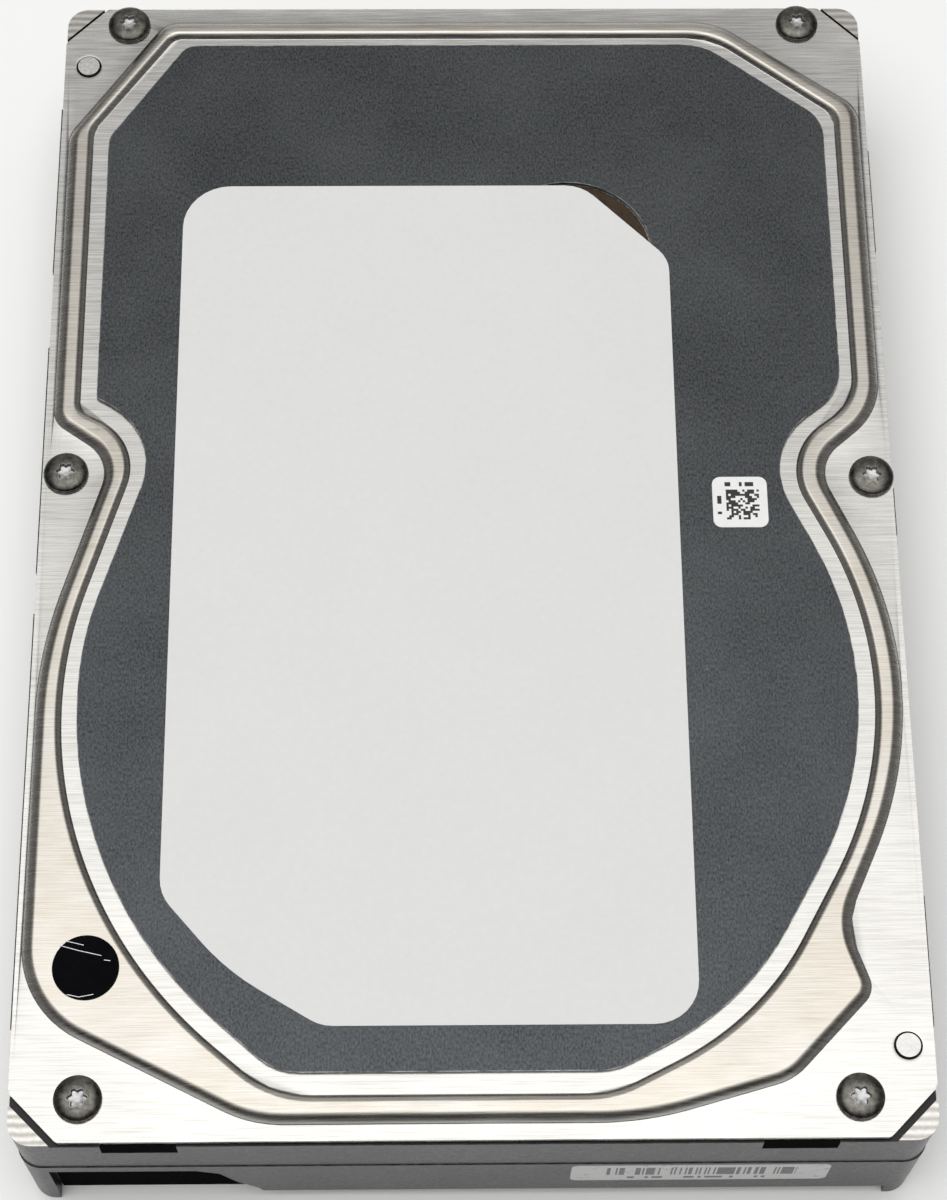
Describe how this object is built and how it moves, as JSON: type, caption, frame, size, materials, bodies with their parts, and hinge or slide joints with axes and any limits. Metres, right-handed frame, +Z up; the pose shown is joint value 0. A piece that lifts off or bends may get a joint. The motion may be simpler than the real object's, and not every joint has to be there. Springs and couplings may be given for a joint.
{
  "type": "hard disk drive",
  "caption": "Sealed 3.5-inch hard disk drive with a pressed steel cover, black cast base, spinning platters, swinging head arms and a rear plug.",
  "frame": {"origin": "centre of the 101.6 x 147 mm footprint, at the height of the feet", "axes": "+Z up through the cover, +Y towards the connector end, +X to the right seen from above with the connector end away"},
  "size_m": [0.1016, 0.147, 0.0261],
  "materials": {
    "cast_black": "black coated die-cast aluminium with machined edges",
    "cover_steel": "brushed nickel-finish steel, grain across the width",
    "gasket": "black foam",
    "damping_sheet": "dark grey coated sheet with a fine lengthwise grain",
    "label_paper": "pale blank label film",
    "label_small": null,
    "label_end": null,
    "black_foil": "gloss black foil",
    "screw_steel": "plated steel screw",
    "pin_steel": "ground steel pin",
    "motor_metal": "turned aluminium",
    "polyimide": "amber polyimide film with copper tracks",
    "lamination": "stacked steel laminations",
    "copper": "enamelled copper wire",
    "shaft_steel": "ground stainless steel",
    "yoke_steel": "nickel-plated steel",
    "magnet_nickel": "nickel-plated magnet",
    "magnet_black": "bonded magnet, dark grey",
    "ivory_plastic": "natural low-friction plastic",
    "stop_rubber": "red-brown rubber",
    "filter_cloth": "white filter cloth",
    "filter_plastic": "off-white plastic",
    "bracket_steel": "plated sheet steel",
    "black_plastic": "black glass-filled plastic",
    "board_green": "green solder mask with tracks, pads and vias",
    "foam_grey": "dark grey foam",
    "contact_gold": "gold-plated contacts",
    "chip_black": "black moulded chip package",
    "parts_tan": "ceramic and ferrite board parts",
    "seal_foil": "aluminium sealing foil",
    "bronze": "sintered bronze",
    "platter_mirror": "mirror-polished platter",
    "spacer_alu": "turned aluminium",
    "arm_alu": "machined aluminium",
    "fork_plastic": "black moulded plastic",
    "suspension_steel": "thin stainless steel",
    "slider_ceramic": "dark grey ceramic"
  },
  "bodies": {
    "housing": {"base_casting": "cast_black", "top_cover": "cover_steel", "cover_gasket": "gasket", "damping_plate": "damping_sheet", "main_label": "label_paper", "matrix_label": "label_small", "end_label": "label_end", "port_seal": "black_foil", "cover_screws": "screw_steel", "shaft_screws": "screw_steel", "locating_pins": "pin_steel", "motor_flange": "motor_metal", "motor_lead": "polyimide", "stator_core": "lamination", "stator_coils": "copper", "spindle_shaft": "shaft_steel", "pivot_shaft": "shaft_steel", "lower_yoke": "yoke_steel", "upper_yoke": "yoke_steel", "lower_magnet": "magnet_nickel", "upper_magnet": "magnet_nickel", "yoke_posts": "shaft_steel", "load_ramp": "ivory_plastic", "crash_stops": "stop_rubber", "recirculation_filter": "filter_cloth", "breather_filter": "filter_plastic", "flex_bracket": "bracket_steel", "interior_screws": "screw_steel", "flex_loop": "polyimide", "feedthrough_connector": "black_plastic", "circuit_board": "board_green", "underside_screws": "screw_steel", "board_foam": "foam_grey", "interface_connector": "black_plastic", "interface_contacts": "contact_gold", "jumper_header": "black_plastic", "controller_chip": "chip_black", "cache_chip": "chip_black", "motor_driver_chip": "chip_black", "board_parts": "parts_tan", "underside_seals": "seal_foil", "latch_pin": "shaft_steel"},
    "spindle": {"spindle_hub": "spacer_alu", "bearing_sleeve": "bronze", "rotor_magnet": "magnet_black", "platter_1": "platter_mirror", "platter_2": "platter_mirror", "platter_3": "platter_mirror", "spacer_1": "spacer_alu", "spacer_2": "spacer_alu", "disk_clamp": "spacer_alu", "clamp_screws": "screw_steel"},
    "actuator": {"arm_block": "arm_alu", "pivot_bearing": "shaft_steel", "voice_coil": "copper", "coil_fork": "fork_plastic", "suspensions": "suspension_steel", "head_sliders": "slider_ceramic", "preamp_board": "polyimide"},
    "latch": {"actuator_latch": "ivory_plastic"}
  },
  "joints": [
    {"name": "spindle_spin", "type": "hinge", "parent": "housing", "child": "spindle", "pos_m": [0, -0.0225, 0.0106], "axis": [0, 0, 1], "continuous": true},
    {"name": "actuator_swing", "type": "hinge", "parent": "housing", "child": "actuator", "pos_m": [0.0126, 0.0365, 0.0156], "axis": [0, 0, 1], "range_deg": [0, 32.5], "deforming": ["flex_loop"]},
    {"name": "latch_swing", "type": "hinge", "parent": "housing", "child": "latch", "pos_m": [0.04, 0.0245, 0.0144], "axis": [0, 0, 1], "range_deg": [0, 5]}
  ]
}
